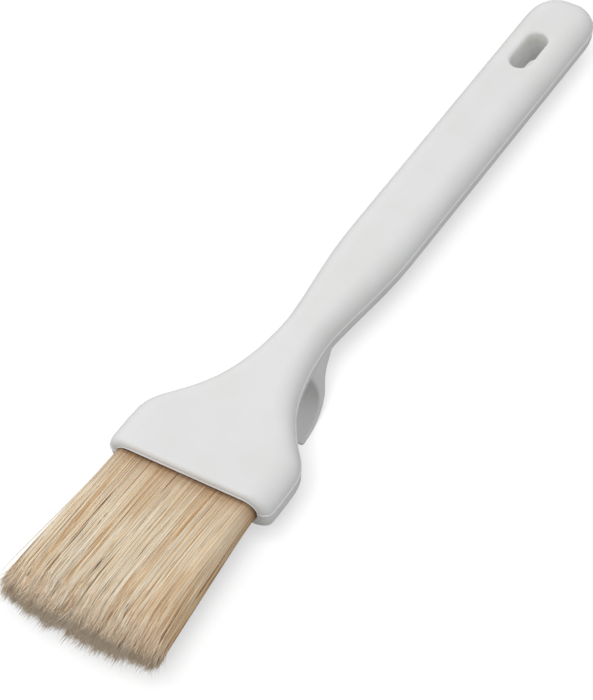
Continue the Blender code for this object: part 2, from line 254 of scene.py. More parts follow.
def skin(name, rings, start_pole=None, end_pole=None):
    """Closed mesh through equal rings, with a pole or a flat face each end."""
    sides = len(rings[0])
    verts = [to_world(r) for r in rings]
    faces = []
    for k in range(len(rings) - 1):
        here, there = k * sides, (k + 1) * sides
        for i in range(sides):
            j = (i + 1) % sides
            faces.append((here + i, here + j, there + j, there + i))
    total = len(rings) * sides
    for pole, base, at_end in ((start_pole, 0, False),
                               (end_pole, total - sides, True)):
        if pole is None:
            loop = range(base, base + sides)
            faces.append(tuple(loop if at_end else reversed(loop)))
            continue
        verts.append(to_world([pole]))
        for i in range(sides):
            j = (i + 1) % sides
            faces.append((total, base + i, base + j) if at_end
                         else (total, base + j, base + i))
        total += 1
    mesh = bpy.data.meshes.new(name)
    mesh.from_pydata(np.concatenate(verts).tolist(), [], faces)
    mesh.update()
    obj = bpy.data.objects.new(name, mesh)
    bpy.context.scene.collection.objects.link(obj)
    mesh.shade_smooth()
    bm = bmesh.new()
    bm.from_mesh(mesh)
    bmesh.ops.recalc_face_normals(bm, faces=bm.faces[:])
    bm.to_mesh(mesh)
    bm.free()
    return obj


def apply_boolean(obj, other, operation):
    mod = obj.modifiers.new("cut", 'BOOLEAN')
    mod.operation = operation
    mod.solver = 'EXACT'
    mod.object = other
    bpy.context.view_layer.update()
    done = bpy.data.meshes.new_from_object(
        obj.evaluated_get(bpy.context.evaluated_depsgraph_get()))
    obj.modifiers.clear()
    old = obj.data
    obj.data = done
    bpy.data.meshes.remove(old)
    bpy.data.objects.remove(other, do_unlink=True)


def assign(obj, mat):
    obj.data.materials.clear()
    obj.data.materials.append(mat)


# ------------------------------------------------------------ handle's shapes
def bead_lift(points, height):
    return height * np.exp(-(points[:, 2] / BEAD_WIDTH) ** 2)


def handle_ring(y):
    """The handle's section at y, with the bead raised along the outline's normal."""
    width = half_width(y)
    points = ring(y, width, edge_zone(width), top_height(y), sole_depth(y),
                  UPPER_BULGE, LOWER_BULGE)
    step = 0.02
    slope = (half_width(min(HANDLE_LENGTH, y + step))
             - half_width(max(0.0, y - step))) / (2.0 * step)
    if y < step:
        slope = 6.0     # at the mouth the bead points mostly towards -Y
    normal = np.array([1.0, -slope]) / math.hypot(1.0, slope)
    lift = bead_lift(points, BEAD)
    points[:, 0] += np.sign(points[:, 0]) * normal[0] * lift
    points[:, 1] += normal[1] * lift
    return points


def socket_ring(y, shrink):
    height = SOCKET_RISE - shrink
    return ring(y, SOCKET_HALF - shrink, height, height, height, 2.0, 2.0)


def lip_ring(share, out):
    """Between the opening (0) and the outer edge of the mouth face (1)."""
    inner = socket_ring(0.0, -0.10)
    points = inner + (handle_ring(0.0) - inner) * share
    points[:, 1] = -bead_lift(points, 0.8 * BEAD) * (0.5 + 0.5 * share) - out
    return points


def build_handle():
    cap_start = HANDLE_LENGTH - CAP_LENGTH
    cap_angle = np.radians(np.linspace(4.0, 87.5, 26))
    stations = [*MOUTH_RINGS,
                *np.arange(13.4, 30.0, 0.8),
                *np.arange(30.2, 104.0, 1.5),
                *np.arange(106.0, cap_start - 1.0, 4.0),
                *(cap_start + CAP_LENGTH * np.sin(cap_angle) ** (2.0 / CAP_ALONG))]
    rings = [socket_ring(y, shrink) for y, shrink in SOCKET_RINGS]
    rings += [lip_ring(share, out) for share, out in LIP_RINGS]
    rings += [handle_ring(y) for y in stations]
    return skin("brush_handle", rings, (0.0, SOCKET_DEPTH, 0.0),
                (0.0, HANDLE_LENGTH + BEAD * 0.6, 0.0))


def slot_cutter():
    """The clear opening and both rims have their full size; the upper half
    opens a hair wider, which leaves a fine ledge at the parting plane."""
    rim, ledge, sides = SLOT_LIP, SLOT_LEDGE, 96
    profile = [(-BOTTOM_DROP - 0.5, rim + 0.35)]    # z, growth of the outline
    for angle in np.radians(np.linspace(90.0, 4.0, 12)):
        profile.append((-(BOTTOM_DROP - rim + rim * math.sin(angle)),
                        rim * (1.0 - math.cos(angle))))
    profile += [(-4.0, 0.0), (-2.0, 0.0), (-0.12, 0.0), (-0.02, 0.3 * ledge),
                (0.03, 0.7 * ledge), (0.12, ledge), (1.5, ledge), (3.0, ledge)]
    for angle in np.radians(np.linspace(4.0, 90.0, 12)):
        profile.append((TOP_RISE - rim + rim * math.sin(angle),
                        ledge + rim * (1.0 - math.cos(angle))))
    profile.append((TOP_RISE + 0.5, ledge + rim + 0.25))
    straight = (SLOT_LENGTH - SLOT_WIDTH) / 2.0
    around = 2.0 * math.pi * (np.arange(sides) + 0.5) / sides
    shift = np.where(np.sin(around) > 0.0, straight, -straight)
    rings = []
    for z, grow in profile:
        radius = SLOT_WIDTH / 2.0 + grow
        rings.append(np.stack([radius * np.cos(around),
                               SLOT_CENTRE + shift + radius * np.sin(around),
                               np.full(sides, z)], axis=1))
    return skin("slot_cutter", rings)


def hook_form():
    """A flat tongue that drops from the neck and curls towards the mouth."""
    count, sides = 64, 96
    end_depth, end_narrow, end_thin = 0.55, 0.12, 0.55    # rounding of its tip
    mid_y, mid_z, half, turn = [
        [spline([(s[0], s[column]) for s in HOOK_STATIONS], share)
         for share in np.linspace(0.0, 1.0, count)]
        for column in (1, 2, 3, 4)]
    centre = np.stack([np.zeros(count), mid_y, mid_z], axis=1)
    half = np.array(half)
    for _ in range(6):       # ease the stations' small corners
        centre[1:-1] = 0.25 * centre[:-2] + 0.5 * centre[1:-1] + 0.25 * centre[2:]
        half[1:-1] = 0.25 * half[:-2] + 0.5 * half[1:-1] + 0.25 * half[2:]
    # Outline of a section: an oblong with rounded corners.
    around = 2.0 * math.pi * (np.arange(sides) + 0.5) / sides
    cosine, sine = np.cos(around), np.sin(around)
    outline_x = np.sign(cosine) * np.abs(cosine) ** 0.16
    outline_thick = np.sign(sine) * np.minimum(1.0, np.abs(sine) ** 0.42 / 0.965)
    rings = []
    for k in range(count):
        lean = math.radians(turn[k])
        along = np.array([0.0, -math.sin(lean), -math.cos(lean)])
        across = np.array([0.0, -along[2], along[1]])
        steps = [(0.0, 1.0, 1.0)]    # shift along, share of width, of thickness
        if k == count - 1:
            for angle in np.radians((15.0, 32.0, 50.0, 68.0, 84.0)):
                fall = 1.0 - math.cos(angle)
                steps.append((end_depth * math.sin(angle), 1.0 - end_narrow * fall,
                              1.0 - end_thin * fall))
        for shift, wide, thick in steps:
            rings.append(centre[k] + along * shift
                         + np.outer(HOOK_HALF * wide * outline_x, [1.0, 0.0, 0.0])
                         + np.outer(half[k] * thick * outline_thick, across))
    return skin("hook_form", rings)


# ------------------------------------------------------------------ materials
class Nodes:
    """Short-hand for building a node tree."""

    def __init__(self, owner):
        owner.use_nodes = True
        self.tree = owner.node_tree

    def put(self, kind, values=None, **settings):
        node = self.tree.nodes.new(kind)
        for key, value in settings.items():
            setattr(node, key, value)
        for key, value in (values or {}).items():
            self.set(node.inputs[key], value)
        return node

    def set(self, socket, value):
        if isinstance(value, bpy.types.NodeSocket):
            self.tree.links.new(value, socket)
        else:
            socket.default_value = value

    def math(self, operation, *values):
        return self.put("ShaderNodeMath", dict(enumerate(values)),
                        operation=operation).outputs[0]


class Surface(Nodes):
    """A material round the standard shader."""

    def __init__(self, name):
        self.material = bpy.data.materials.new(name)
        super().__init__(self.material)
        self.shader = self.tree.nodes["Principled BSDF"]
        self.coords = self.put("ShaderNodeTexCoord").outputs["Object"]

    def ramp(self, value, between, to=(0.0, 1.0)):
        """Smooth step of value over one range, mapped to another."""
        return self.put("ShaderNodeMapRange",
                        {"Value": value, "From Min": between[0],
                         "From Max": between[1], "To Min": to[0], "To Max": to[1]},
                        interpolation_type='SMOOTHSTEP').outputs[0]

    def mix(self, factor, first, second):
        return self.put("ShaderNodeMix", {"Factor": factor, 6: first, 7: second},
                        data_type='RGBA', blend_type='MIX').outputs[2]

    def noise(self, scale, detail=3.0, roughness=0.5, stretch=None):
        vector = self.coords
        if stretch is not None:
            vector = self.put("ShaderNodeMapping",
                              {"Vector": vector, "Scale": stretch}).outputs[0]
        return self.put("ShaderNodeTexNoise",
                        {"Vector": vector, "Scale": scale, "Detail": detail,
                         "Roughness": roughness}).outputs["Fac"]

    def finish(self, **values):
        for key, value in values.items():
            self.set(self.shader.inputs[key.replace("_", " ")], value)
        return self.material


def rgb(*levels_255):
    """sRGB 0-255 to a linear colour."""
    def linear(level):
        level /= 255.0
        return level / 12.92 if level <= 0.04045 else ((level + 0.055) / 1.055) ** 2.4
    return (*map(linear, levels_255), 1.0)


def plastic_material():
    nodes = Surface("moulded_white_plastic")
    cloud = nodes.noise(scale=55.0, detail=4.0, roughness=0.55)
    fine = nodes.noise(scale=2600.0, detail=2.0, roughness=0.6)
    flow = nodes.noise(scale=240.0, stretch=(1.0, 0.18, 1.0))
    colour = nodes.mix(nodes.ramp(cloud, between=(0.35, 0.65)),
                       rgb(231, 231, 229), rgb(234, 234, 233))
    rough = nodes.math('ADD', nodes.ramp(flow, between=(0.3, 0.7), to=(0.33, 0.41)),
                       nodes.ramp(fine, between=(0.3, 0.7), to=(-0.02, 0.02)))
    grain = nodes.put("ShaderNodeBump", {"Strength": 0.10, "Distance": 0.00004,
                                         "Height": fine})
    waves = nodes.put("ShaderNodeBump", {"Strength": 0.16, "Distance": 0.0004,
                                         "Height": cloud,
                                         "Normal": grain.outputs[0]})
    # More light passes through the plastic round the slot.
    slot_centre = tuple(to_world([0.0, SLOT_CENTRE, 0.0]))
    place = nodes.put("ShaderNodeTexCoord").outputs["Object"]
    span = nodes.put("ShaderNodeVectorMath", {0: place, 1: slot_centre},
                     operation='DISTANCE').outputs["Value"]
    near_slot = nodes.ramp(span, between=(0.008, 0.013), to=(1.0, 0.0))
    at_slot, elsewhere = 0.70, 0.16    # added at the slot; weight everywhere
    return nodes.finish(
        Base_Color=colour, Roughness=rough, IOR=1.49, Normal=waves.outputs[0],
        Subsurface_Weight=nodes.math('MULTIPLY_ADD', near_slot, at_slot, elsewhere),
        Subsurface_Radius=(0.0042, 0.0042, 0.0038), Subsurface_Scale=1.0,
        Specular_IOR_Level=0.45)


# Hair colours from pale to dark: place on the ramp, sRGB colour.
HAIR_COLOURS = [(0.05, (255, 247, 229)), (0.35, (251, 231, 200)),
                (0.60, (240, 206, 160)), (0.80, (218, 172, 120)),
                (1.0, (140, 98, 58))]


def strand_material():
    """Reads the "strand" attribute: tint, share along the strand, kind."""
    nodes = Surface("natural_bristle")
    data = nodes.put("ShaderNodeAttribute", attribute_name="strand")
    split = nodes.put("ShaderNodeSeparateColor", {"Color": data.outputs["Color"]})
    tint, along, kind = split.outputs[:3]
    streak = nodes.noise(scale=900.0, detail=2.0, stretch=(1.0, 0.10, 1.0))
    patch = nodes.noise(scale=70.0, roughness=0.6, stretch=(1.0, 0.22, 1.0))
    streak_depth = 0.14    # the streaks move the tint half this way up or down
    shade = nodes.math('MULTIPLY_ADD', streak, streak_depth,
                       nodes.math('SUBTRACT', tint, streak_depth / 2.0))
    ramp = nodes.put("ShaderNodeValToRGB", {"Fac": shade})
    stops = ramp.color_ramp
    stops.interpolation = 'LINEAR'
    for index in (0, -1):
        stop = stops.elements[index]
        stop.position = HAIR_COLOURS[index][0]
        stop.color = rgb(*HAIR_COLOURS[index][1])
    for place, colour in HAIR_COLOURS[1:-1]:
        stops.elements.new(place).color = rgb(*colour)
    body = ramp.outputs[0]
    for factor, colour in (
            # tan patches
            (nodes.ramp(patch, between=(0.48, 0.70), to=(0.0, 0.24)), (236, 200, 150)),
            # paler towards the tips, in two steps
            (nodes.ramp(along, between=(0.74, 0.93), to=(0.0, 0.36)), (255, 232, 206)),
            (nodes.ramp(along, between=(0.93, 1.0), to=(0.0, 0.30)), (255, 234, 204)),
            # brown ends on the darker hairs
            (nodes.math('MULTIPLY', nodes.ramp(along, between=(0.84, 0.96)),
                        nodes.ramp(tint, between=(0.45, 0.85), to=(0.0, 0.60))),
             (150, 108, 68)),
            # darker towards the mouth, in three steps: a long even darkening, then painted
            # shade under the lip's edge, deepest as painted shadow in the first 2 mm
            (nodes.ramp(along, between=(0.0, 0.42), to=(0.34, 0.0)), (196, 158, 112)),
            # painted shade under the lip's edge
            (nodes.ramp(along, between=(0.0, 0.10), to=(0.55, 0.0)), (172, 122, 70)),
            # painted shadow where the hair leaves the mouth
            (nodes.ramp(along, between=(0.0, 0.035), to=(0.80, 0.0)), (96, 60, 30)),
            # grey strands, then dark ones; the dark colour also paints the shade marks
            # between the hairs
            (nodes.ramp(kind, between=(0.25, 0.5), to=(0.0, 0.60)), (184, 178, 176)),
            (nodes.ramp(kind, between=(0.75, 1.0), to=(0.0, 0.85)), (46, 34, 24))):
        body = nodes.mix(factor, body, rgb(*colour))
    return nodes.finish(
        Base_Color=body, Roughness=nodes.ramp(tint, between=(0.0, 1.0), to=(.40, .56)),
        Specular_IOR_Level=0.35, IOR=1.5, Sheen_Weight=0.0)


def core_material():
    nodes = Surface("bristle_shadow")
    streak = nodes.noise(scale=700.0, roughness=0.6, stretch=(1.0, 0.05, 1.0))
    colour = nodes.mix(nodes.ramp(streak, between=(0.35, 0.65)),
                       rgb(206, 174, 134), rgb(236, 208, 170))
    return nodes.finish(Base_Color=colour, Roughness=0.8, Specular_IOR_Level=0.1)


def resin_material():
    nodes = Surface("cured_resin")
    cloud = nodes.noise(scale=160.0, detail=4.0, roughness=0.6)
    colour = nodes.mix(nodes.ramp(cloud, between=(0.3, 0.7)),
                       rgb(150, 112, 58), rgb(178, 140, 82))
    return nodes.finish(
        Base_Color=colour,
        Roughness=nodes.ramp(cloud, between=(0.3, 0.7), to=(0.22, 0.36)))


def board_material():
    nodes = Surface("spacer_board")
    grain = nodes.noise(scale=420.0, detail=4.0, roughness=0.65,
                        stretch=(0.15, 1.0, 1.0))
    bump = nodes.put("ShaderNodeBump", {"Strength": 0.4, "Distance": 0.0001,
                                        "Height": grain})
    colour = nodes.mix(nodes.ramp(grain, between=(0.3, 0.7)),
                       rgb(150, 122, 88), rgb(182, 154, 116))
    return nodes.finish(Base_Color=colour, Roughness=0.8, Normal=bump.outputs[0])


def floor_material(glow, seen_share, bounce_share):
    """Matt white paper.  A little of its own light keeps shadows pale, and it
    throws less light back than it shows."""
    nodes = Surface("paper_floor")
    seen = nodes.put("ShaderNodeLightPath").outputs["Is Camera Ray"]
    grain = nodes.ramp(nodes.noise(scale=3.0, detail=2.0), between=(0.3, 0.7),
                       to=(0.985, 1.0))
    white = nodes.put("ShaderNodeCombineColor",
                      {i: nodes.math('MULTIPLY', grain, seen_share)
                       for i in range(3)})
    colour = nodes.mix(seen, (bounce_share,) * 3 + (1.0,), white.outputs[0])
    return nodes.finish(Base_Color=colour, Roughness=1.0, Specular_IOR_Level=0.0,
                        Emission_Color=(1.0, 1.0, 1.0, 1.0),
                        Emission_Strength=nodes.math('MULTIPLY', seen, glow))


# --------------------------------------------------------------- the moulding
handle = build_handle()
apply_boolean(handle, hook_form(), 'UNION')
apply_boolean(handle, slot_cutter(), 'DIFFERENCE')
handle.data.shade_smooth()
handle.data.set_sharp_from_angle(angle=math.radians(42.0))
assign(handle, plastic_material())
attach(handle, "handle")
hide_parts("handle_moulding")

assign(frame["nodes"]["resin_set"], resin_material())
assign(frame["nodes"]["spacer_strip"], board_material())


# ---------------------------------------------------------- bristle's helpers
def pack_point(across, through, along):
    """x and z in the pack's cross-section: across and through run -1..1,
    along is the share of the way from the mouth to the tips."""
    along = np.maximum(along, 0.0)
    width = ROOT_HALF + (TIP_HALF - ROOT_HALF) * along ** 1.1
    height = ROOT_RISE + (TIP_RISE - ROOT_RISE) * along ** 0.85
    end = np.sqrt(np.maximum(0.0, 1.0 - through * through))
    x = across * (width - height * 0.8 * (1.0 - end)) + TIP_LEAN * along ** 1.5
    z = through * height * (1.0 - 0.28 * np.abs(across) ** 3 * along)
    return x, z


def strand_mesh(name, path, radius, tint, kind, along):
    """Closed three-sided tapered tubes, one per strand.
    path: strands x points x 3; radius and along: strands x points."""
    count, points, _ = path.shape
    turn = (np.arange(count) * 2.399)[:, None, None]
    corners = turn + 2.0 * math.pi * np.arange(3)[None, None, :] / 3.0
    rings = np.repeat(path[:, :-1, None, :], 3, axis=2)
    rings[..., 0] += radius[:, :-1, None] * np.cos(corners)
    rings[..., 2] += radius[:, :-1, None] * np.sin(corners)
    per = (points - 1) * 3 + 1    # vertices of one strand
    verts = np.concatenate([rings.reshape(count, -1, 3),
                            path[:, -1:, :]], axis=1).reshape(-1, 3)
    quads, tris = [], [(0, 1, 2)]
    top = 3 * (points - 2)
    for i in range(3):
        tris.append((top + i, per - 1, top + (i + 1) % 3))
    for k in range(points - 2):
        for i in range(3):
            j = (i + 1) % 3
            quads.append((3 * k + i, 3 * k + 3 + i, 3 * k + 3 + j, 3 * k + j))
    base = (np.arange(count) * per)[:, None]
    quad_loops = (np.array(quads).reshape(1, -1) + base).ravel()
    tri_loops = (np.array(tris).reshape(1, -1) + base).ravel()
    loops = np.concatenate([quad_loops, tri_loops]).astype(np.int32)
    sizes = np.concatenate([np.full(len(quad_loops) // 4, 4),
                            np.full(len(tri_loops) // 3, 3)])
    starts = np.concatenate([[0], np.cumsum(sizes)[:-1]]).astype(np.int32)
    mesh = bpy.data.meshes.new(name)
    mesh.vertices.add(len(verts))
    mesh.vertices.foreach_set("co", to_world(verts).astype(np.float32).ravel())
    mesh.loops.add(len(loops))
    mesh.loops.foreach_set("vertex_index", loops)
    mesh.polygons.add(len(sizes))
    mesh.polygons.foreach_set("loop_start", starts)
    mesh.polygons.foreach_set("use_smooth", np.ones(len(sizes), bool))
    mesh.update(calc_edges=True)
    mesh.validate()
    colour = np.ones((count, per, 4), np.float32)
    colour[..., 0] = tint[:, None]
    colour[..., 1] = np.concatenate([np.repeat(along[:, :-1], 3, axis=1),
                                     along[:, -1:]], axis=1)
    colour[..., 2] = kind[:, None]
    layer = mesh.attributes.new("strand", 'FLOAT_COLOR', 'POINT')
    layer.data.foreach_set("color", colour.ravel())
    obj = bpy.data.objects.new(name, mesh)
    bpy.context.scene.collection.objects.link(obj)
    return obj


def strand_parts(name, parts, order_by, *arrays):
    """The strands, sorted by order_by, as several numbered objects."""
    order = np.argsort(order_by)
    count = len(order)
    picks = [order[k * count // parts:(k + 1) * count // parts]
             for k in range(parts)]
    return [strand_mesh("%s_%d" % (name, k + 1), *(values[pick] for values in arrays))
            for k, pick in enumerate(picks)]


# --------------------------------------------------------- where strands grow
rng = np.random.default_rng(20)
STRANDS = 11000
deep = rng.random(STRANDS) < 0.42       # inside the pack; the rest near its faces
across = rng.uniform(-1.0, 1.0, STRANDS)
side = rng.random(STRANDS) < 0.10       # at the pack's two narrow sides
across = np.where(side, np.sign(across) * (1.0 - 0.10 * rng.random(STRANDS) ** 1.5),
                  across)
through = np.where(deep, rng.uniform(-1.0, 1.0, STRANDS),
                   np.sign(rng.uniform(-0.9, 1.1, STRANDS))
                   * (1.0 - 0.26 * rng.random(STRANDS) ** 1.2))
through = np.where(side, rng.uniform(-1.0, 1.0, STRANDS), through)


def gather(columns, rows, pull, spread):
    """Clumps of hair: for each strand, its clump's centre, pull, lean, tint
    and length."""
    grid_a, grid_t = np.meshgrid((np.arange(columns) + 0.5) / columns * 2.0 - 1.0,
                                 (np.arange(rows) + 0.5) / rows * 2.0 - 1.0)
    mid_a = (grid_a + rng.normal(0.0, 0.7 / columns, grid_a.shape)).ravel()
    mid_t = (grid_t + rng.normal(0.0, 0.5 / rows, grid_a.shape)).ravel()
    near = np.argmin((across[:, None] - mid_a[None]) ** 2
                     + (through[:, None] - mid_t[None]) ** 2
                     * (rows / columns) ** 2, axis=1)
    count = len(mid_a)
    return {"across": mid_a[near], "through": mid_t[near],
            "pull": rng.uniform(*pull, count)[near],
            "dx": rng.normal(0.0, spread, count)[near],
            "dz": rng.normal(0.0, spread * 0.6, count)[near],
            "tint": rng.normal(0.0, 1.0, count)[near],
            "length": rng.normal(0.0, 1.0, count)[near]}


# Loose locks, and wisps of a few hairs that cling.
locks = gather(columns=26, rows=4, pull=(0.02, 0.12), spread=0.40)
wisps = gather(columns=120, rows=10, pull=(0.12, 0.45), spread=0.20)

# Lengths: the upper hair reaches a little further than the lower.
upper_length = 57.5 + 0.3 * across
lower_length = 53.4 + 0.2 * across
length = lower_length + (upper_length - lower_length) * smooth(-0.5, 1.0, through)
# a rounded end
length += 1.7 * (1.0 - through * through) * (1.0 - 0.9 * np.abs(across) ** 4)
length += 0.95 * wisps["length"] + 0.45 * locks["length"]
length -= np.abs(rng.normal(0.0, 0.8, STRANDS)) - 0.6
# some short hairs, more of them near the upper face
short = rng.random(STRANDS) < 0.08 + 0.20 * (through > 0.4)
length = np.where(short, length - rng.uniform(1.0, 8.5, STRANDS), length)
# shorter at both sides, and most at -X
length -= 0.9 * np.abs(across) ** 6 + 3.2 * np.maximum(0.0, -across) ** 7
# a few longer ones, then an uneven upper limit
length += np.where(rng.random(STRANDS) < 0.15, rng.uniform(0.5, 2.7, STRANDS), 0.0)
length = np.minimum(length, BRISTLE_LENGTH + 0.6 + 1.2 * rng.random(STRANDS))

# -------------------------------------------------------------- strands' paths
# Points of a strand as shares of its length, closer near the mouth, where the
# pack bends.  Negative ones lie in the socket, as shares of ROOT_SPAN.
share = np.array([-0.10, -0.015, 0.02, 0.055, 0.09, 0.125, 0.165, 0.23, 0.33,
                  0.44, 0.56, 0.69, 0.82, 0.92, 1.0])
ROOT_SPAN = 50.0
distance = np.where(share[None, :] < 0.0, share[None, :] * ROOT_SPAN,
                    share[None, :] * length[:, None])
along = np.clip(distance / BRISTLE_LENGTH, 0.0, 1.0)
x, z = pack_point(across[:, None], through[:, None], along)

# Clumps draw together from the given share outwards, and lean.
for group, begin in ((wisps, 0.42), (locks, 0.30)):
    clump_x, clump_z = pack_point(group["across"][:, None],
                                  group["through"][:, None], along)
    pull = group["pull"][:, None] * smooth(begin, 1.0, along)
    x = x + (clump_x - x) * pull + group["dx"][:, None] * along ** 1.6
    z = z + (clump_z - z) * pull * 0.4 + group["dz"][:, None] * along ** 1.6

# A gentle wave, 0.5 to 1.4 turns over the pack's length.
TURN, WAVE_HEIGHT = 6.28, 0.12
wave = rng.uniform(0.5, 1.4, STRANDS)[:, None]
phase = rng.uniform(0.0, TURN, (2, STRANDS))[:, :, None]
grow = smooth(0.04, 0.5, along)
x = x + WAVE_HEIGHT * np.sin(TURN * wave * along + phase[0]) * grow
z = z + WAVE_HEIGHT * np.sin(TURN * wave * along + phase[1]) * grow

# Every hair wanders a little, and a few strays wander far.
stray = rng.random(STRANDS) < 0.03
loose = np.where(stray, 1.25, 0.30)[:, None]
x = x + rng.uniform(-1.7, 1.7, STRANDS)[:, None] * loose * along ** 2.0
z = z + rng.uniform(-1.5, 1.5, STRANDS)[:, None] * loose * 0.7 * along ** 2.0

# The last few millimetres splay a little.
splay = smooth(0.82, 1.0, along)
x = x + rng.normal(0.0, 0.42, STRANDS)[:, None].clip(-1.0, 1.0) * splay
z = z + rng.normal(0.0, 0.32, STRANDS)[:, None].clip(-0.8, 0.8) * splay

# Upper hairs bow down over their last third, and round the end of the pack.
z = z - (0.4 + 3.4 * np.maximum(0.0, through)[:, None] ** 1.5) \
    * smooth(0.70, 1.03, along) ** 2

# Slits: short partings in the upper hair, where it stands apart.
# Place across, share along, push aside in mm, half span along.
slits = [(-0.62, 0.58, 0.42, 0.07), (-0.12, 0.66, 0.50, 0.08),
         (-0.30, 0.90, 0.40, 0.05), (-0.62, 0.84, 0.45, 0.06),
         (0.56, 0.86, 0.34, 0.06), (-0.10, 0.08, 0.30, 0.07),
         (0.30, 0.93, 0.34, 0.05), (0.42, 0.90, 0.34, 0.05)]
for _ in range(22):
    slits.append((rng.uniform(-0.95, 0.95), rng.uniform(0.15, 0.98),
                  rng.uniform(0.08, 0.24), rng.uniform(0.04, 0.10)))
SLIT_WIDTH = 0.55
for slit_across, slit_along, push, span in slits:
    slit_x, _ = pack_point(np.array(slit_across), np.array(0.9), along)
    away = x - slit_x
    weight = (np.exp(-(away / SLIT_WIDTH) ** 2)
              * np.exp(-((along - slit_along) / span) ** 2)
              * smooth(0.35, 0.8, through)[:, None])
    x = x + np.sign(away) * push * weight

path = np.stack([x, -distance, z], axis=2)

# --------------------------------------------------- strands' radius and colour
thick = rng.uniform(0.105, 0.160, STRANDS)[:, None]
radius = thick * (1.0 - 0.38 * smooth(0.70, 1.0, share)[None, :])
# Tint: 62% pale, 28% middling, 10% dark.
shade = rng.random(STRANDS)
tint = np.where(shade < 0.62, rng.uniform(0.02, 0.34, STRANDS),
                np.where(shade < 0.90, rng.uniform(0.34, 0.66, STRANDS),
                         rng.uniform(0.70, 0.98, STRANDS)))
tint = tint + 0.03 * wisps["tint"] + 0.04 * locks["tint"]
# painted shade: darker at the pack's two narrow sides, below the upper face
tint = tint + 0.42 * smooth(0.86, 1.0, np.abs(across)) \
    * (1.0 - smooth(-0.2, 0.8, through))
tint = np.clip(tint, 0.0, 1.0)
# Kind: 0 ordinary, 0.5 grey, 1 dark.  Grey ones gather near the middle on top.
kind = np.zeros(STRANDS)
kind[rng.random(STRANDS) < 0.0007] = 1.0
middle = np.exp(-((across + 0.055) / 0.016) ** 2) * (through > 0.5)
kind[(rng.random(STRANDS) < 0.001 + 0.28 * middle) & (kind < 1.0)] = 0.5

# Flags: the split ends of natural hair, two on each owner.
owners = np.repeat(np.where(rng.random(STRANDS) < 0.22)[0], 2)
FLAGS = len(owners)
start = path[owners, -3] * 0.60 + path[owners, -2] * 0.40
head = path[owners, -1] - start
reach = np.linalg.norm(head, axis=1, keepdims=True)
turn = np.stack([rng.uniform(-1.0, 1.0, FLAGS) * spread
                 for spread in (0.30, 0.05, 0.24)], axis=1) * reach
steps = np.array([0.0, 0.30, 0.62, 1.0])[None, :, None]
flag_path = start[:, None, :] + head[:, None, :] * steps * 1.05 \
    + turn[:, None, :] * steps ** 1.7
flag_radius = np.repeat(np.array([[0.085, 0.075, 0.065, 0.03]]), FLAGS, axis=0)
flag_along = np.repeat(np.array([[0.86, 0.92, 0.97, 1.0]]), FLAGS, axis=0)

bristle = strand_material()
pieces = strand_parts("bristles", 8, across, path, radius, tint, kind, along)
pieces += strand_parts("bristle_flags", 2, across[owners], flag_path, flag_radius,
                       tint[owners] * 0.6, np.zeros(FLAGS), flag_along)


# ------------------------------------------------------------- painted shade marks and core
def build_painted_shade_marks():
    """Painted shade: short dark tubes on the pack's faces, standing for the shade in the
    gaps between the hairs.
    """
    # Place across, share along, length in mm.
    painted_shade_marks = [(-0.67, 0.56, 3.0), (-0.70, 0.66, 3.4), (-0.12, 0.67, 3.6),
               (-0.40, 0.90, 2.8), (-0.62, 0.83, 2.6), (0.42, 0.88, 3.2),
               (0.28, 0.95, 2.4), (0.55, 0.80, 2.2), (0.66, 0.62, 2.0),
               (-0.86, 0.86, 2.0), (0.02, 0.93, 2.0), (-0.52, 0.40, 2.2),
               (0.84, 0.90, 2.4), (0.12, 0.36, 1.8), (-0.80, 0.30, 1.6)]
    for _ in range(12):
        painted_shade_marks.append((rng.uniform(-0.90, 0.90), rng.uniform(0.25, 0.84),
                        rng.uniform(1.8, 2.8)))
    taper = np.array([0.01, 0.08, 0.14, 0.14, 0.08, 0.01])
    points = len(taper)
    paths, radii = [], []
    for place, middle_share, span in painted_shade_marks:
        for face in (1.0, -1.0):    # the upper face, then the lower
            if face < 0.0 and middle_share > 0.80:
                continue
            where = np.clip(middle_share + np.linspace(-0.5, 0.5, points) * span
                            / BRISTLE_LENGTH, 0.0, 0.99)
            x, z = pack_point(np.full(points, place * face),
                              np.full(points, 0.97 * face), where)
            z = z - (0.4 + 3.2 * (face > 0)) * smooth(0.70, 1.03, where) ** 2
            paths.append(np.stack([x, -where * BRISTLE_LENGTH, z + 0.12 * face],
                                  axis=1))
            radii.append(taper * min(1.0, 0.30 + span / 4.6))
    count = len(paths)
    return strand_mesh("bristle_painted_shade", np.array(paths), np.array(radii),
                       tint=np.full(count, 0.9), kind=np.ones(count),
                       along=np.full((count, points), 0.4))


def build_core():
    """The inside of the pack: one closed, ribbed form."""
    sides = 180
    around = 2.0 * math.pi * np.arange(sides) / sides
    cosine, sine = np.cos(around), np.sin(around)
    core_across = np.sign(cosine) * np.abs(cosine) ** 0.45
    core_through = np.sign(sine) * np.abs(sine) ** 0.8
    rings = []
    for out in (-4.0, 0.5, 1.8, 3.1, 4.4, 5.7, 7.0, 8.3, 9.8, 15.0, 23.0, 31.0,
                38.0, 43.0, 46.0):
        shrink = 0.86 - 0.20 * smooth(30.0, 46.0, out)
        wide = 1.0 - (1.0 - shrink) * 0.28
        rib = 1.0 + 0.02 * np.sin(47.0 * around + out * 0.1)
        x, z = pack_point(core_across * wide, core_through * shrink * rib,
                          np.full(sides, out / BRISTLE_LENGTH))
        rings.append(np.stack([x, np.full(sides, -out), z], axis=1))
    return skin("bristle_core", rings)


# the dark tubes of painted shade between the hairs
pieces.append(build_painted_shade_marks())
for piece in pieces:
    assign(piece, bristle)
core = build_core()
assign(core, core_material())
pieces.append(core)

for piece in pieces:
    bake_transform(piece)
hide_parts("root_bank_upper", "root_bank_lower",
            *sorted(n for n in frame["nodes"] if n.startswith("lock_")))

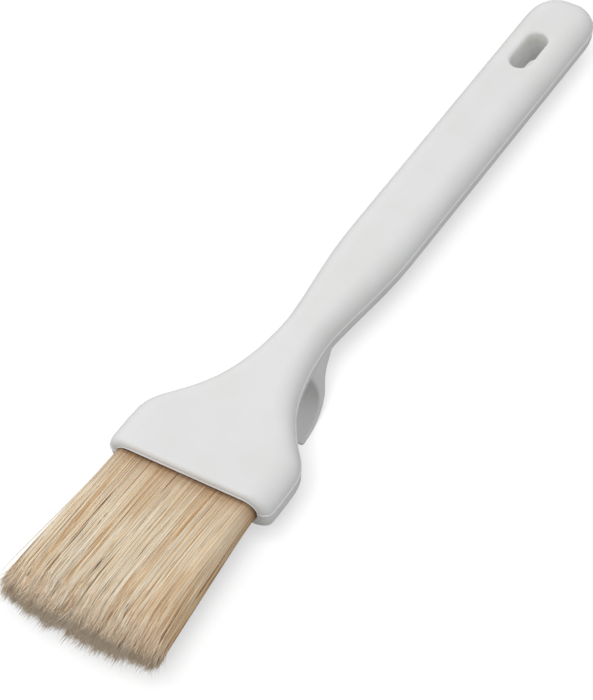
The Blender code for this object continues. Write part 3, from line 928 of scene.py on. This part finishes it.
# ------------------------------------------------------------ floor and light
floor_z = CAD_BOX[0][2]
bpy.ops.mesh.primitive_plane_add(size=12.0, location=(0.0, 0.0, floor_z))
floor = bpy.context.object
floor.name = "floor"
assign(floor, floor_material(glow=0.50, seen_share=0.25, bounce_share=0.15))


def build_world():
    """Plain white to the camera; a soft dome, brightest along one direction,
    to everything else."""
    brightest = Vector((-0.42, 0.42, 0.80)).normalized()
    swing, level = 0.18, 0.70    # the dome's strength is level +/- swing
    world = bpy.data.worlds.new("studio")
    bpy.context.scene.world = world
    nodes = Nodes(world)
    nodes.tree.nodes.clear()
    seen = nodes.put("ShaderNodeBackground", {"Color": (1.0, 1.0, 1.0, 1.0),
                                              "Strength": 1.0})
    place = nodes.put("ShaderNodeTexCoord").outputs["Generated"]
    dot = nodes.put("ShaderNodeVectorMath", {0: place, 1: brightest},
                    operation='DOT_PRODUCT').outputs["Value"]
    dome = nodes.put("ShaderNodeBackground",
                     {"Color": (0.985, 0.99, 1.0, 1.0),
                      "Strength": nodes.math('MULTIPLY_ADD', dot, swing, level)})
    rays = nodes.put("ShaderNodeLightPath").outputs["Is Camera Ray"]
    choose = nodes.put("ShaderNodeMixShader",
                       {0: rays, 1: dome.outputs[0], 2: seen.outputs[0]})
    nodes.put("ShaderNodeOutputWorld", {0: choose.outputs[0]})


def area_light(name, direction, distance, size, level, target, colour=(1, 1, 1)):
    """Square soft box; level is what a white surface facing it shows."""
    light = bpy.data.lights.new(name, 'AREA')
    light.shape = 'SQUARE'
    light.size = size
    light.energy = level * math.pi ** 2 * distance ** 2
    light.color = colour
    obj = bpy.data.objects.new(name, light)
    aim = Vector(direction).normalized()
    obj.location = Vector(target) + aim * distance
    obj.rotation_euler = aim.to_track_quat('Z', 'Y').to_euler()
    bpy.context.scene.collection.objects.link(obj)
    return obj


def link_light(light, obj, state):
    """The lamp lights obj alone ('INCLUDE'), or all but obj ('EXCLUDE')."""
    group = bpy.data.collections.new(light.name + "_group")
    group.objects.link(obj)
    light.light_linking.receiver_collection = group
    group.collection_objects[0].light_linking.link_state = state


build_world()
ground = area_light("ground_light", direction=(0.346, -0.444, 0.827), distance=6.0,
                    size=2.1, level=1.95, target=(0.0, 0.0, floor_z))
link_light(ground, floor, 'INCLUDE')
key = area_light("key", direction=(-0.40, -0.15, 0.90), distance=0.62, size=0.5,
                 level=0.20, target=(0.0, -0.06, 0.025), colour=(1.0, 0.995, 0.985))
link_light(key, floor, 'EXCLUDE')


# --------------------------------------------------------------------- camera
def build_camera():
    """Looks down at the handle from the bristle end, on the +X side."""
    azimuth, elevation, roll = np.radians((39.83, 48.0, -9.05))
    distance = 1000.0                        # these three in millimetres
    aim_point = np.array([0.0, 106.0, 0.0])  # in brush coordinates
    slide_left, slide_down = 27.70305, 34.42548

    back = np.array([math.sin(azimuth) * math.cos(elevation),
                     -math.cos(azimuth) * math.cos(elevation),
                     math.sin(elevation)])
    level_right = np.cross([0.0, 0.0, 1.0], back)
    level_right /= np.linalg.norm(level_right)
    level_up = np.cross(back, level_right)
    right = math.cos(roll) * level_right + math.sin(roll) * level_up
    up = -math.sin(roll) * level_right + math.cos(roll) * level_up
    eye = to_world(aim_point + back * distance - right * slide_left
                   - up * slide_down)
    data = bpy.data.cameras.new("camera")
    data.sensor_fit = 'HORIZONTAL'
    data.sensor_width = 36.0
    data.lens = 211.228331
    data.clip_start = 0.01
    data.clip_end = 50.0
    camera = bpy.data.objects.new("camera", data)
    rows = np.column_stack([right, up, back, eye]).tolist()
    camera.matrix_world = Matrix([*rows, (0.0, 0.0, 0.0, 1.0)])
    bpy.context.scene.collection.objects.link(camera)
    bpy.context.scene.camera = camera


build_camera()
bpy.context.scene.view_settings.view_transform = 'Standard'
bpy.context.scene.view_settings.look = 'None'
